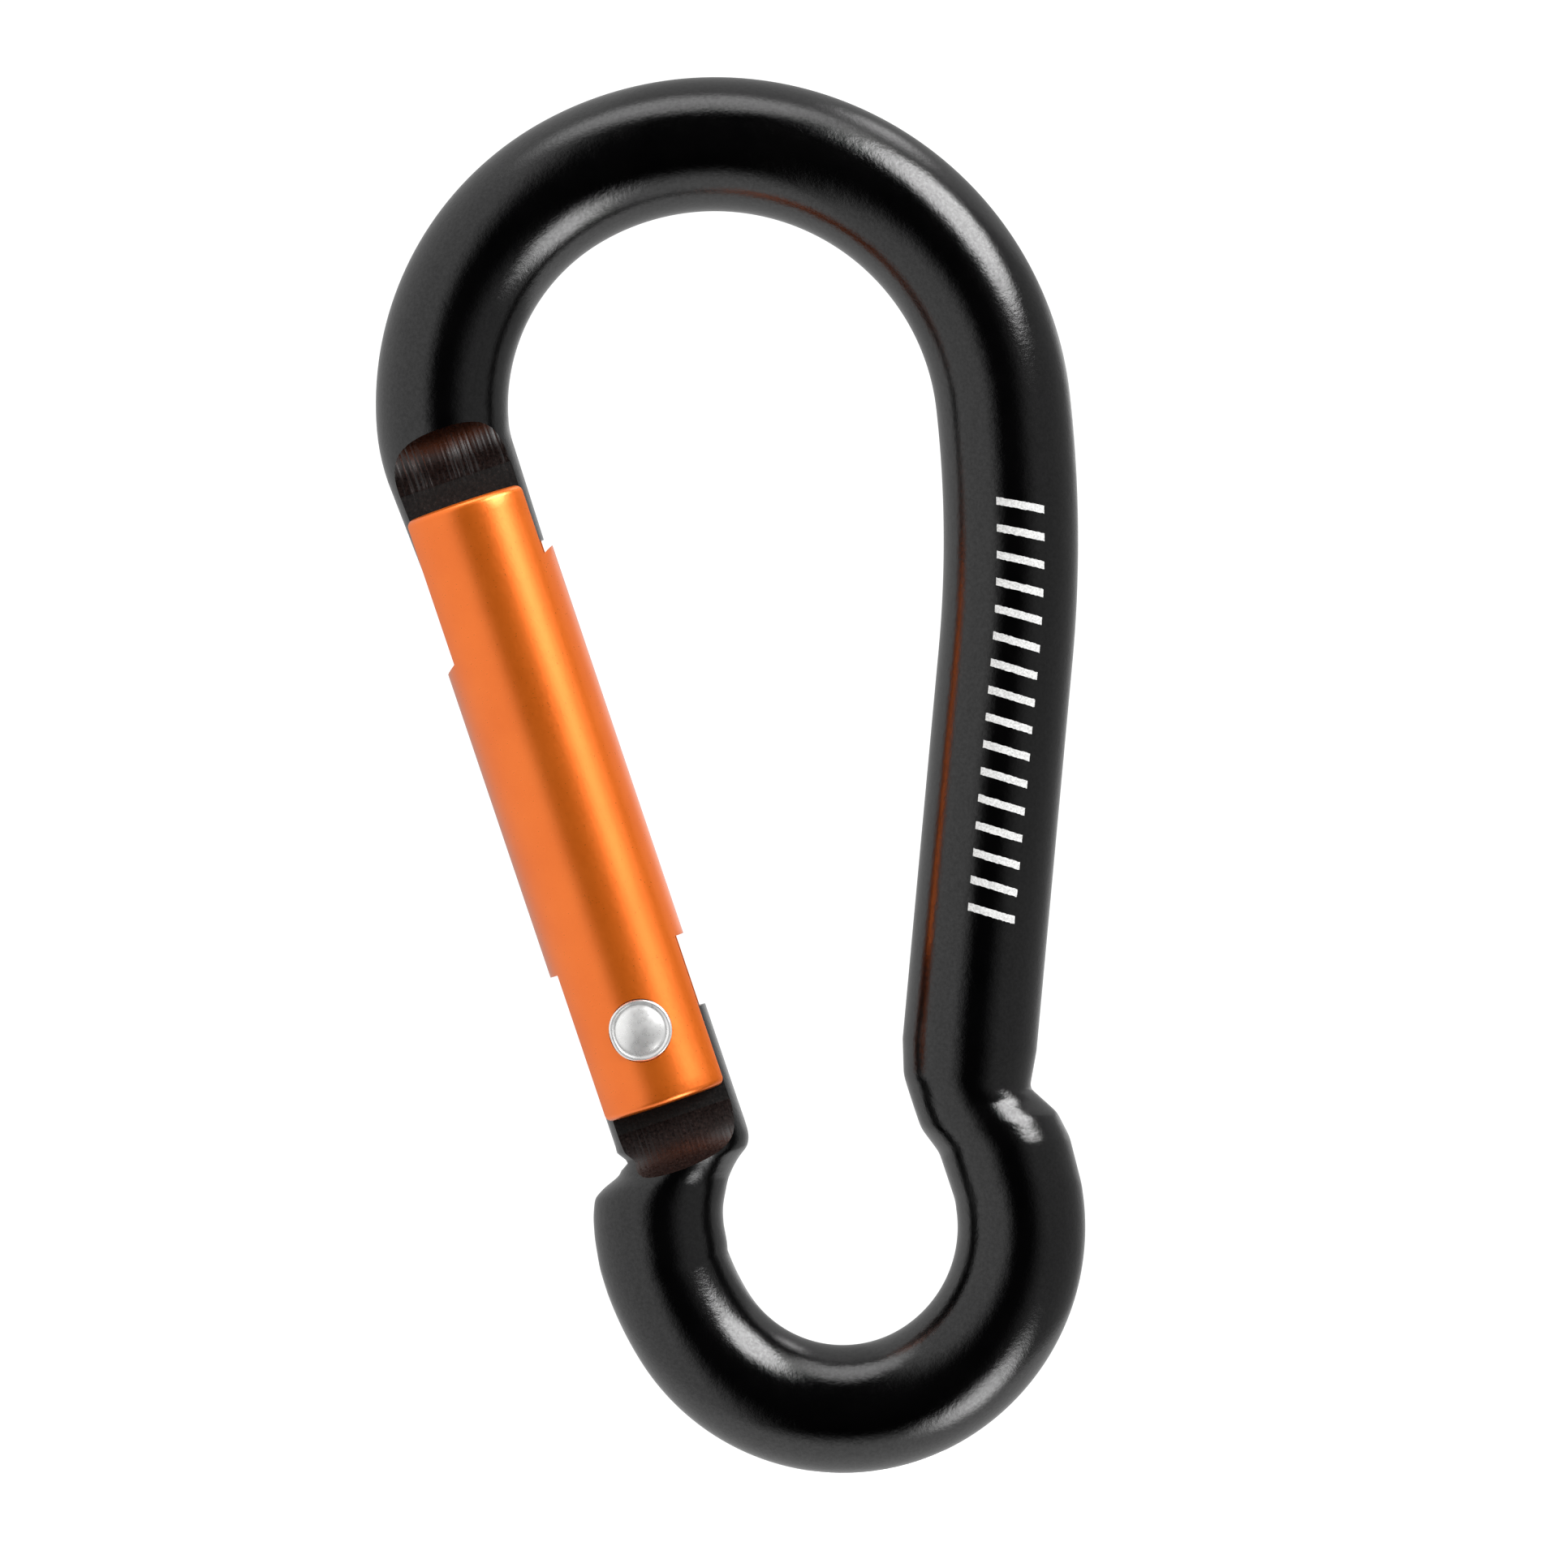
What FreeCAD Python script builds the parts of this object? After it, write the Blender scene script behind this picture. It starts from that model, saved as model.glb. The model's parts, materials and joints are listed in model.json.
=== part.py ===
"""Gourd-shaped accessory carabiner: a bent round rod with a slotted, sprung rod gate.

Row frame: Z is the long axis, X runs from the gate to the spine, Y is the thickness.
The origin is the crown of the large bow, where the cord or ring hangs.
"""
import FreeCAD, Part
import math
import os
import Sketcher

doc = FreeCAD.newDocument("carabiner")
sheet = doc.addObject("Spreadsheet::Sheet", "sheet")

DIMENSIONS = {
    # rod of the body
    "rod_radius": 3.85,
    "nose_radius": 3.56,
    "nose_shift": 0.08,
    "tail_radius": 3.74,
    "tail_shift": 0.16,
    "small_bow_rod": 3.68,
    # large bow, one bend after another from the nose round to the spine
    "nose_bend": 8.56,
    "nose_turn": 14.01,
    "cheek_bend": 14.61,
    "cheek_turn": 64.66,
    "crown_bend": 16.54,
    "crown_turn": 113.54,
    "back_bend": 70.6,
    "back_turn": 11.73,
    "spine_length": 22.35,
    # small bow
    "bow_bend": 10.46,
    "bow_turn": 63.1,
    "toe_bend": 9.98,
    "toe_turn": 93.0,
    "heel_bend": 17.0,
    "heel_turn": 11.7,
    # gate, measured up and down its own axis from the pivot
    "gate_radius": 4.0,
    "gate_up": 31.58,
    "gate_down": 4.44,
    "gate_edge": 0.45,
    "gate_tilt": 9.86,
    "slot_width": 3.76,
    "lower_slot": 4.4,
    "upper_slot_outer": 22.64,
    "upper_slot_inner": 27.73,
    "upper_slot_width": 4.1,
    "spring_bore": 1.75,
    "bore_end": 19.8,
    # milled tangs at the nose and the tail
    "tang_thickness": 3.3,
    "nose_end": 28.2,
    "nose_cutter": 32.98,
    "nose_top": 34.13,
    "tail_end": 0.19,
    "tail_cutter": -5.33,
    "tail_foot": -6.0,
    "cutter_radius": 3.05,
    # pivot eye of the tail, with the lobe that lifts the plunger
    "eye_radius": 2.6,
    "lobe_offset": 0.9,
    "eye_hole": 1.55,
    # rivet
    "rivet_radius": 1.5,
    "rivet_head": 1.8,
    "head_seat": 3.45,
    "head_height": 0.62,
    "head_slope": 0.35,
    "head_rim": 0.25,
    "crown_rise": 0.1,
    # plunger and spring
    "plunger_radius": 1.69,
    "plunger_head": 6.0,
    "guide_radius": 0.75,
    "guide_length": 2.4,
    "wire_radius": 0.2,
    "coil_radius": 1.25,
    "coil_pitch": 1.05,
    "spring_gap": 0.03,
}
for row, (alias, value) in enumerate(DIMENSIONS.items(), start=1):
    sheet.set("A%d" % row, alias)
    sheet.set("B%d" % row, str(value))
    sheet.setAlias("B%d" % row, alias)
doc.recompute()

# Pivot of the gate, in the row frame.
PIVOT = FreeCAD.Vector(-9.33, 0, -45.54)
# Round sections that the pressed steps of the body run through, one after another:
# centre x, centre z, radius, direction of the rod there in degrees from +X.
SPINE_STEP = (
    (8.54, -51.36, 3.62, -104.5),
    (9.46, -53.75, 3.92, -92.1),
    (10.11, -55.25, 3.75, -91.8),
    (10.49, -58.11, 3.65, -91.4),
)
BOW_START = (10.47, -58.61)
BOW_HEADING = -90.8
HEEL_STEP = (
    (-10.08, -58.50, 3.72, -266.5),
    (-10.11, -57.15, 3.71, -272.5),
    (-10.03, -56.21, 3.70, -276.6),
    (-9.85, -55.41, 3.67, -280.7),
    (-9.31, -54.49, 3.55, -274.3),
    (-8.57, -53.83, 3.30, -272.9),
    (-8.27, -53.42, 3.43, -271.2),
    (-7.86, -52.98, 3.50, -272.0),
    (-7.98, -52.47, 3.80, -270.0),
)
ACROSS = FreeCAD.Vector(0, 1, 0)
REACH = 12.0


def size(alias):
    return float(sheet.get(alias))


def bind(item, **expressions):
    for name, expression in expressions.items():
        item.setExpression(name, expression)


def direction(degrees):
    angle = math.radians(degrees)
    return FreeCAD.Vector(math.cos(angle), 0, math.sin(angle))


def in_gate(across, up, y=0.0):
    """Placement in the gate's frame: its z runs up the gate, its x towards the spine."""
    turn = FreeCAD.Rotation(ACROSS, -size("gate_tilt"))
    here = PIVOT + turn.multVec(FreeCAD.Vector(across, y, up))
    return FreeCAD.Placement(here, turn)


def fused(name, items):
    result = doc.addObject("Part::MultiFuse", name)
    result.Shapes = items
    return result


def cut(name, base, tool):
    result = doc.addObject("Part::Cut", name)
    result.Base = base
    result.Tool = tool
    return result


def cross_pin(name, across, up, radius):
    """Cylinder along Y through a point of the gate's frame."""
    pin = doc.addObject("Part::Cylinder", name)
    bind(pin, Radius=radius)
    pin.Height = REACH
    start = in_gate(across, up).Base - ACROSS * (REACH / 2)
    pin.Placement = FreeCAD.Placement(start, FreeCAD.Rotation(FreeCAD.Vector(0, 0, 1), ACROSS))
    return pin


def bend(name, start, heading, radius, turn, rod):
    """Clockwise bend of a round rod. Returns the piece, its end point and its end heading."""
    centre = start + direction(heading - 90) * size(radius)
    outward = direction(heading + 90)
    piece = doc.addObject("Part::Torus", name)
    bind(piece, Radius1="sheet." + radius, Radius2="sheet." + rod, Angle3="sheet." + turn)
    along = direction(heading)
    piece.Placement = FreeCAD.Placement(centre, FreeCAD.Rotation(outward, along, ACROSS, "ZXY"))
    end_heading = heading - size(turn)
    return piece, centre + direction(end_heading + 90) * size(radius), end_heading


def straight(name, start, heading, length, rod):
    piece = doc.addObject("Part::Cylinder", name)
    bind(piece, Height=length, Radius="sheet." + rod)
    upright = FreeCAD.Rotation(FreeCAD.Vector(0, 0, 1), direction(heading))
    piece.Placement = FreeCAD.Placement(start, upright)
    return piece


def ring(name, x, z, radius, heading):
    """Circle across the rod, for a loft."""
    circle = doc.addObject("Part::Circle", name)
    circle.Radius = radius
    side = direction(heading + 90)
    turn = FreeCAD.Rotation(ACROSS, side, direction(heading), "ZXY")
    circle.Placement = FreeCAD.Placement(FreeCAD.Vector(x, 0, z), turn)
    return circle


def pressed(name, sections):
    """Solid whose skin runs straight from each ring to the next."""
    loft = doc.addObject("Part::Loft", name)
    loft.Sections = sections
    loft.Solid = True
    loft.Ruled = True
    return loft


def large_bow():
    """Nose, the bends of the large bow and the straight spine. Ends with the spine's last ring."""
    heading = 90 + size("gate_tilt")
    tip = in_gate(size("nose_shift"), size("nose_end")).Base
    point = in_gate(0, size("nose_top")).Base
    tip_ring = ring("nose_tip_ring", tip.x, tip.z, size("nose_radius"), heading)
    top_ring = ring("nose_top_ring", point.x, point.z, size("rod_radius"), heading)
    pieces = [pressed("nose", [tip_ring, top_ring])]
    for name in ("nose", "cheek", "crown", "back"):
        label = name + "_arc"
        piece, point, heading = bend(label, point, heading, name + "_bend", name + "_turn", "rod_radius")
        pieces.append(piece)
    pieces.append(straight("spine", point, heading, "sheet.spine_length", "rod_radius"))
    point = point + direction(heading) * size("spine_length")
    return pieces, ring("spine_end_ring", point.x, point.z, size("rod_radius"), heading)


def small_bow(spine_end):
    """The pressed step below the spine, the small bow and the step up to the tail."""
    rod = size("small_bow_rod")
    point = FreeCAD.Vector(BOW_START[0], 0, BOW_START[1])
    heading = BOW_HEADING
    rings = [spine_end]
    rings += [ring("spine_step_%d" % number, *place) for number, place in enumerate(SPINE_STEP, start=1)]
    rings.append(ring("bow_start_ring", point.x, point.z, rod, heading))
    pieces = [pressed("spine_step", rings)]
    for name in ("bow", "toe", "heel"):
        label = name + "_arc"
        piece, point, heading = bend(label, point, heading, name + "_bend", name + "_turn", "small_bow_rod")
        pieces.append(piece)
    rings = [ring("heel_end_ring", point.x, point.z, rod, heading)]
    rings += [ring("heel_step_%d" % number, *place) for number, place in enumerate(HEEL_STEP, start=1)]
    foot = in_gate(size("tail_shift"), size("tail_foot")).Base
    upright = 90 + size("gate_tilt")
    rings.append(ring("tail_foot_ring", foot.x, foot.z, size("tail_radius"), upright))
    pieces.append(pressed("heel_step", rings))
    return pieces


def tail_and_eye():
    """Round tail rod and the flat eye on its end, whose lobe lifts the plunger."""
    tail = doc.addObject("Part::Cylinder", "tail")
    bind(tail, Radius="sheet.tail_radius", Height="sheet.tail_end - sheet.tail_foot")
    tail.Placement = in_gate(size("tail_shift"), size("tail_foot"))
    pieces = [tail]
    for name, across in (("eye", 0.0), ("lobe", size("lobe_offset"))):
        disc = doc.addObject("Part::Cylinder", name)
        bind(disc, Radius="sheet.eye_radius", Height="sheet.tang_thickness")
        start = in_gate(across, 0).Base - ACROSS * (size("tang_thickness") / 2)
        turn = FreeCAD.Rotation(FreeCAD.Vector(0, 0, 1), ACROSS)
        disc.Placement = FreeCAD.Placement(start, turn)
        pieces.append(disc)
    bridge = doc.addObject("Part::Box", "bridge")
    bind(bridge, Length="sheet.lobe_offset", Width="sheet.tang_thickness", Height="sheet.eye_radius")
    bridge.Placement = in_gate(0, 0, -size("tang_thickness") / 2)
    pieces.append(bridge)
    return pieces


def mills():
    """The tools that mill both tangs flat, each with the round run-out of its cutter."""
    tools = []
    half = size("tang_thickness") / 2
    lower_end = size("nose_end") - 1.0
    upper_end = size("tail_end") + 1.0
    for side in (-1, 1):
        hand = "front" if side < 0 else "back"
        for name, low, high, centre in (
            ("nose", lower_end, size("nose_cutter"), size("nose_cutter")),
            ("tail", size("tail_cutter"), upper_end, size("tail_cutter")),
        ):
            block = doc.addObject("Part::Box", "%s_flat_%s" % (name, hand))
            block.Length = REACH
            block.Width = REACH / 2
            block.Height = high - low
            inner = half if side > 0 else -half - REACH / 2
            block.Placement = in_gate(-REACH / 2, low, inner)
            cutter = doc.addObject("Part::Cylinder", "%s_cutter_%s" % (name, hand))
            bind(cutter, Radius="sheet.cutter_radius")
            cutter.Height = REACH
            seat = in_gate(-REACH / 2, centre, side * (half + size("cutter_radius")))
            along_x = FreeCAD.Rotation(FreeCAD.Vector(0, 1, 0), 90)
            cutter.Placement = FreeCAD.Placement(seat.Base, seat.Rotation.multiply(along_x))
            tools += [block, cutter]
    return tools


def make_body():
    tail, *eye = tail_and_eye()
    upper, spine_end = large_bow()
    rod = fused("rod", upper + small_bow(spine_end) + [tail])
    milled = cut("milled", rod, fused("mill_tools", mills()))
    with_eye = fused("with_eye", [milled] + eye)
    body = cut("body_solid", with_eye, cross_pin("eye_hole_tool", 0, 0, "sheet.eye_hole"))
    body.Label = "body"
    return body


def make_gate():
    stock = doc.addObject("Part::Cylinder", "gate_stock")
    bind(stock, Radius="sheet.gate_radius", Height="sheet.gate_up + sheet.gate_down")
    stock.Placement = in_gate(0, -size("gate_down"))
    doc.recompute()
    eased = doc.addObject("Part::Chamfer", "gate_eased")
    eased.Base = stock
    rims = [i for i, edge in enumerate(stock.Shape.Edges, start=1) if edge.Closed]
    eased.Edges = [(i, size("gate_edge"), size("gate_edge")) for i in rims]

    lower = doc.addObject("Part::Box", "lower_slot_tool")
    lower.Length = REACH
    lower.Height = REACH
    bind(lower, Width="sheet.slot_width")
    lower.Placement = in_gate(-REACH / 2, size("lower_slot") - REACH, -size("slot_width") / 2)

    # The upper slot is sawn at a slant: deeper on the outside than on the inside.
    rise = size("upper_slot_inner") - size("upper_slot_outer")
    slant = math.degrees(math.atan2(rise, 2 * size("gate_radius")))
    upper = doc.addObject("Part::Box", "upper_slot_tool")
    upper.Length = 2 * REACH
    upper.Height = REACH
    bind(upper, Width="sheet.upper_slot_width")
    middle = (size("upper_slot_inner") + size("upper_slot_outer")) / 2
    seat = in_gate(0, middle, -size("upper_slot_width") / 2)
    tilt = FreeCAD.Placement(FreeCAD.Vector(), FreeCAD.Rotation(ACROSS, -slant))
    shift = FreeCAD.Placement(FreeCAD.Vector(-REACH, 0, 0), FreeCAD.Rotation())
    upper.Placement = seat.multiply(tilt).multiply(shift)

    bore = doc.addObject("Part::Cylinder", "spring_bore_tool")
    bind(bore, Radius="sheet.spring_bore", Height="sheet.bore_end - sheet.lower_slot + 1")
    bore.Placement = in_gate(0, size("lower_slot") - 1)
    hole = cross_pin("rivet_hole_tool", 0, 0, "sheet.rivet_radius")
    tools = [lower, upper, bore, hole]
    for side in (-1, 1):
        seat_tool = doc.addObject("Part::Cylinder", "head_seat_tool_%s" % ("front" if side < 0 else "back"))
        bind(seat_tool, Radius="sheet.rivet_head")
        seat_tool.Height = REACH / 2
        start = PIVOT + ACROSS * (side * size("head_seat"))
        turn = FreeCAD.Rotation(FreeCAD.Vector(0, 0, 1), ACROSS * side)
        seat_tool.Placement = FreeCAD.Placement(start, turn)
        tools.append(seat_tool)
    gate = cut("gate_solid", eased, fused("gate_tools", tools))
    gate.Label = "gate"
    return gate


def size_of(expression):
    """Value of a sum of sheet cells and numbers, such as 'sheet.a + sheet.b'."""
    total = 0.0
    for term in expression.replace("- ", "+ -").split("+"):
        word = term.strip()
        sign = -1.0 if word.startswith("-") else 1.0
        word = word.lstrip("-")
        total += sign * (size(word[6:]) if word.startswith("sheet.") else float(word))
    return total


def turned(label, placement, plane, points):
    """A lathe-turned piece: a closed half outline revolved about the sketch's upright axis.

    The outline is a list of (radius, height) expressions joined by straight lines.
    """
    body = doc.addObject("PartDesign::Body", label + "_turned")
    body.Label = label
    sketch = body.newObject("Sketcher::SketchObject", label + "_outline")
    support = [feature for feature in body.Origin.OriginFeatures if feature.Role == plane][0]
    sketch.AttachmentSupport = [(support, "")]
    sketch.MapMode = "FlatFace"
    corners = [FreeCAD.Vector(size_of(across), size_of(up), 0) for across, up in points]
    count = len(corners)
    for i, corner in enumerate(corners):
        following = corners[(i + 1) % count]
        sketch.addGeometry(Part.LineSegment(corner, following), False)
    for i in range(count):
        sketch.addConstraint(Sketcher.Constraint("Coincident", i, 2, (i + 1) % count, 1))
    for i, (across, up) in enumerate(points):
        for kind, expression, value in (
            ("DistanceX", across, corners[i].x),
            ("DistanceY", up, corners[i].y),
        ):
            number = sketch.addConstraint(Sketcher.Constraint(kind, -1, 1, i, 1, value))
            sketch.setExpression("Constraints[%d]" % number, expression)
    revolution = body.newObject("PartDesign::Revolution", label + "_revolution")
    revolution.Profile = sketch
    revolution.ReferenceAxis = (sketch, ["V_Axis"])
    revolution.Angle = 360.0
    body.Placement = placement
    return body


def make_rivet():
    """Shank through the gate and the tail's eye, with a stepped, domed head at each side."""
    rim = "sheet.head_seat + sheet.head_rim"
    crown = "sheet.head_seat + sheet.head_height"
    half = [
        ("sheet.rivet_radius", "sheet.head_seat"),
        ("sheet.rivet_head", "sheet.head_seat"),
        ("sheet.rivet_head", rim),
        ("sheet.rivet_head - sheet.head_slope", crown),
        ("0", "sheet.head_seat + sheet.head_height + sheet.crown_rise"),
    ]
    mirrored = [(across, negative(up)) for across, up in reversed(half)]
    return turned("pivot_rivet", FreeCAD.Placement(PIVOT, FreeCAD.Rotation()), "XY_Plane", mirrored + half)


def make_plunger():
    """Flat-ended pin that rests on the eye's lobe, with a guide for the spring."""
    outline = [
        ("0", "sheet.eye_radius + 0.02"),
        ("sheet.plunger_radius - 0.2", "sheet.eye_radius + 0.02"),
        ("sheet.plunger_radius", "sheet.eye_radius + 0.22"),
        ("sheet.plunger_radius", "sheet.eye_radius + sheet.plunger_head"),
        ("sheet.guide_radius", "sheet.eye_radius + sheet.plunger_head"),
        ("sheet.guide_radius", "sheet.eye_radius + sheet.plunger_head + sheet.guide_length"),
        ("0", "sheet.eye_radius + sheet.plunger_head + sheet.guide_length"),
    ]
    return turned("plunger", in_gate(0, 0), "XZ_Plane", outline)


def make_spring():
    """Round-wire coil between the plunger's shoulder and the end of its bore."""
    low = size("eye_radius") + size("plunger_head") + size("spring_gap") + size("wire_radius")
    high = size("bore_end") - size("spring_gap") - size("wire_radius")
    helix = doc.addObject("Part::Helix", "coil_line")
    helix.Height = high - low
    bind(helix, Pitch="sheet.coil_pitch", Radius="sheet.coil_radius")
    wire = doc.addObject("Part::Circle", "wire_section")
    bind(wire, Radius="sheet.wire_radius")
    across_wire = FreeCAD.Rotation(FreeCAD.Vector(0, 0, 1), FreeCAD.Vector(0, 1, 0))
    wire.Placement = FreeCAD.Placement(FreeCAD.Vector(size("coil_radius"), 0, 0), across_wire)
    coil = doc.addObject("Part::Sweep", "coil")
    coil.Sections = [wire]
    coil.Spine = (helix, ["Edge1"])
    coil.Solid = True
    coil.Frenet = True
    coil.Placement = in_gate(0, low)
    coil.Label = "spring"
    return coil


def negative(expression):
    """The same sum of cells and numbers with every sign turned."""
    turned_signs = expression.replace("- ", "~ ").replace("+ ", "- ").replace("~ ", "+ ")
    return "0" if expression == "0" else "-" + turned_signs


sub_parts = [make_body(), make_gate(), make_rivet(), make_plunger(), make_spring()]
doc.recompute()

for item in doc.Objects:
    broken = [state for state in item.State if state in ("Invalid", "Error")]
    if broken:
        raise RuntimeError("%s is %s" % (item.Label, broken))

os.makedirs("parts", exist_ok=True)
for item in sub_parts:
    shape = item.Shape
    if shape.isNull() or not shape.isValid() or len(shape.Solids) != 1:
        raise RuntimeError("%s is not one valid solid" % item.Label)
    shape.exportStep("parts/%s.step" % item.Label)
    box = shape.optimalBoundingBox()
    print("%-12s %9.2f mm3  %s" % (item.Label, shape.Volume, box))
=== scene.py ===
"""Looks of the gourd-shaped accessory carabiner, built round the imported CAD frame."""
import json
import math
import random

import bmesh
import bpy
import numpy as np
from mathutils import Matrix, Vector


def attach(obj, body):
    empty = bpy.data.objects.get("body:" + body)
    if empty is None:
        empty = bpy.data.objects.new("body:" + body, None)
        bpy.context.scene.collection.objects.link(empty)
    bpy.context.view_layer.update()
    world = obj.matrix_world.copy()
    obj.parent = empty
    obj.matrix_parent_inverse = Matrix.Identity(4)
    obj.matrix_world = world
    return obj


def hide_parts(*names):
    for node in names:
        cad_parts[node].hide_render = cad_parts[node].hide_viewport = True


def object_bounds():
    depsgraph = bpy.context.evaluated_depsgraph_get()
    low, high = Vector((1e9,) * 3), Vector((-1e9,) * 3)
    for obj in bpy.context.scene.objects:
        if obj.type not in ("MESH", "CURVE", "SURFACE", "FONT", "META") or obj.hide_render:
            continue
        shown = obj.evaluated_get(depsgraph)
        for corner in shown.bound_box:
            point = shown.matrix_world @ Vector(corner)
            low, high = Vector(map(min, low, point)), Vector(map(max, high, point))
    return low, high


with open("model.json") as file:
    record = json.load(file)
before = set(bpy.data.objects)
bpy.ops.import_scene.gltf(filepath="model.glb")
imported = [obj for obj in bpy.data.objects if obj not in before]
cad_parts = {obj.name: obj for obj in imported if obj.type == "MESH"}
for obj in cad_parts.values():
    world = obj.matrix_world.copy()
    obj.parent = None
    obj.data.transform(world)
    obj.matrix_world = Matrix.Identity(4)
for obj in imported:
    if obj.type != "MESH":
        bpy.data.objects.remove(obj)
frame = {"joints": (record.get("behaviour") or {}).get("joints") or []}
cad_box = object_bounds()

MM = 0.001
MICRON = 0.000001
JOINTS = {joint["name"]: joint for joint in frame["joints"]}
PIVOT = Vector(JOINTS["gate_hinge"]["pos_m"]) / MM
UP_GATE = Vector(JOINTS["plunger_slide"]["axis"]).normalized()
ACROSS_GATE = Vector((UP_GATE.z, 0, -UP_GATE.x))
GATE_HEADING = math.degrees(math.atan2(UP_GATE.z, UP_GATE.x))

# ---------------------------------------------------------------- dimensions, in mm
# the body's rod: its radius, and where nose, tail and small bow differ from it in radius or line
ROD = 3.84
NOSE_ROD = 3.555
NOSE_SHIFT = 0.08
TAIL_ROD = 3.735
TAIL_SHIFT = 0.16
BOW_ROD = 3.645
NOSE_TOP_ROD = 3.74
# bends of the large bow from the nose to the spine: radius, turn in degrees, rod radius at its end
LARGE_BOW = ((8.56, 14.01, 3.77), (14.61, 64.66, 3.81), (16.54, 113.54, ROD), (70.6, 11.73, ROD))
SPINE_LENGTH = 22.35
# bends of the small bow: radius, turn in degrees. Its start: x and z, and the rod's direction from +X
SMALL_BOW = ((10.46, 63.1), (9.98, 93.0), (17.0, 11.7))
BOW_START = (10.47, -58.61)
BOW_HEADING = -90.8
# heights in the gate's frame, from the pivot up the gate: ends of the rod and centres of the cutter
NOSE_END = 28.2
NOSE_TOP = 34.13
NOSE_CUTTER = 32.98
TAIL_END = 0.19
TAIL_CUTTER = -5.33
TAIL_FOOT = -6.0
# the cutter's radius, the thickness that it leaves, and the eye on the tail's end
CUTTER = 3.05
TANG = 3.3
EYE = 2.6
LOBE = 0.9
EYE_HOLE = 1.55
# pressed sections: centre x, centre z, half width, heading and, where it differs, half thickness
SPINE_STEP = (
    (8.54, -51.36, 3.62, -104.5, 3.60),
    (8.98, -52.50, 3.76, -98.6, 3.46),
    (9.46, -53.75, 3.91, -92.1, 3.78),
    (10.11, -55.25, 3.75, -91.8, 3.84),
    (10.49, -58.11, 3.64, -91.4, 3.68),
)
HEEL_STEP = (
    (-10.08, -58.50, 3.71, -266.5),
    (-10.11, -57.15, 3.70, -272.5),
    (-10.03, -56.21, 3.70, -276.6),
    (-9.85, -55.41, 3.67, -280.7),
    (-9.31, -54.49, 3.55, -274.3),
    (-8.57, -53.83, 3.30, -272.9),
    (-8.27, -53.42, 3.43, -271.2),
    (-7.86, -52.98, 3.50, -272.0),
    (-7.98, -52.47, 3.80, -270.0),
)
STEP_THICKNESS = 3.72
# the gate's radius, reach up and down from the pivot, rounding, slots and bore
GATE = 4.0
GATE_UP = 31.58
GATE_DOWN = 4.44
GATE_EDGE = 0.42
SLOT = 3.76
LOWER_SLOT = 4.4
UPPER_SLOT = (22.64, 27.73)
UPPER_SLOT_WIDTH = 4.1
BORE = 1.75
BORE_END = 19.8
# the rivet's shank and head
RIVET = 1.5
RIVET_HEAD = 1.8
HEAD_SEAT = 3.45
# the head's dome starts this much above its seat, this far in from its rim, and rises by this
DOME_FOOT = 0.42
DOME_INSET = 0.42
DOME_RISE = 0.29
# the plunger, the stem that guides the spring, and the spring's wire and coil
PLUNGER = 1.69
PLUNGER_HEAD = 6.0
GUIDE = 0.75
GUIDE_LENGTH = 2.4
WIRE = 0.2
COIL = 1.25
SPRING_GAP = 0.03
SPRING_TURNS = 11.0
# the nick behind the tail, as points across and up in the gate's frame
NICK = ((-5.0, -6.30), (-3.55, -6.32), (-3.22, -6.78), (-3.16, -7.02), (-3.62, -7.30), (-5.0, -7.36))
# the cutter's chatter marks as waves across the tang: radians per mm, phase, height
CHATTER = ((21.0, 0.0, 0.013), (37.0, 1.3, 0.010), (59.0, 0.4, 0.007), (8.0, 2.0, 0.010))
# share of the chatter's height that each tang's run-out has
NOSE_GROOVE = 1.0
TAIL_GROOVE = 0.35
# the etched bars lie on the spine between these heights
BAR_TOP = -18.55
BAR_BOTTOM = -42.85
BARS = 16

# skin points round the rod, and how far a cutting tool reaches past what it cuts
RING = 112
REACH = 12.0
DRILL_REACH = 6.0


# ---------------------------------------------------------------- mesh helpers
def heading_vector(degrees):
    """The direction in the rod's plane, turned from +X towards +Z."""
    angle = math.radians(degrees)
    return Vector((math.cos(angle), 0, math.sin(angle)))


def in_gate(across, up, y=0.0):
    """A point of the gate's frame, in the row frame, in mm."""
    return PIVOT + ACROSS_GATE * across + UP_GATE * up + Vector((0, y, 0))


def gate_matrix():
    """From the gate's frame (x across, y thickness, z up its axis) to the row frame."""
    turn = Matrix((ACROSS_GATE, Vector((0, 1, 0)), UP_GATE)).transposed().to_4x4()
    return Matrix.Translation(PIVOT) @ turn


def new_object(name, vertices, faces, material=None):
    """An object from points in mm in the row frame."""
    mesh = bpy.data.meshes.new(name)
    mesh.from_pydata([Vector(v) * MM for v in vertices], [], faces)
    mesh.validate()
    piece = bpy.data.objects.new(name, mesh)
    bpy.context.scene.collection.objects.link(piece)
    if material:
        mesh.materials.append(material)
    return piece


def tube(rings):
    """Vertices and faces of a closed skin over rings of equal count, capped at both ends."""
    count = len(rings[0])
    vertices = [point for ring in rings for point in ring]
    faces = []
    for row in range(len(rings) - 1):
        low = row * count
        for i in range(count):
            j = (i + 1) % count
            faces.append((low + i, low + j, low + count + j, low + count + i))
    faces.append(tuple(reversed(range(count))))
    faces.append(tuple((len(rings) - 1) * count + i for i in range(count)))
    return vertices, faces


def outward(piece):
    """Faces all point out of the solid."""
    work = bmesh.new()
    work.from_mesh(piece.data)
    bmesh.ops.recalc_face_normals(work, faces=work.faces)
    work.to_mesh(piece.data)
    work.free()
    return piece


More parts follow.
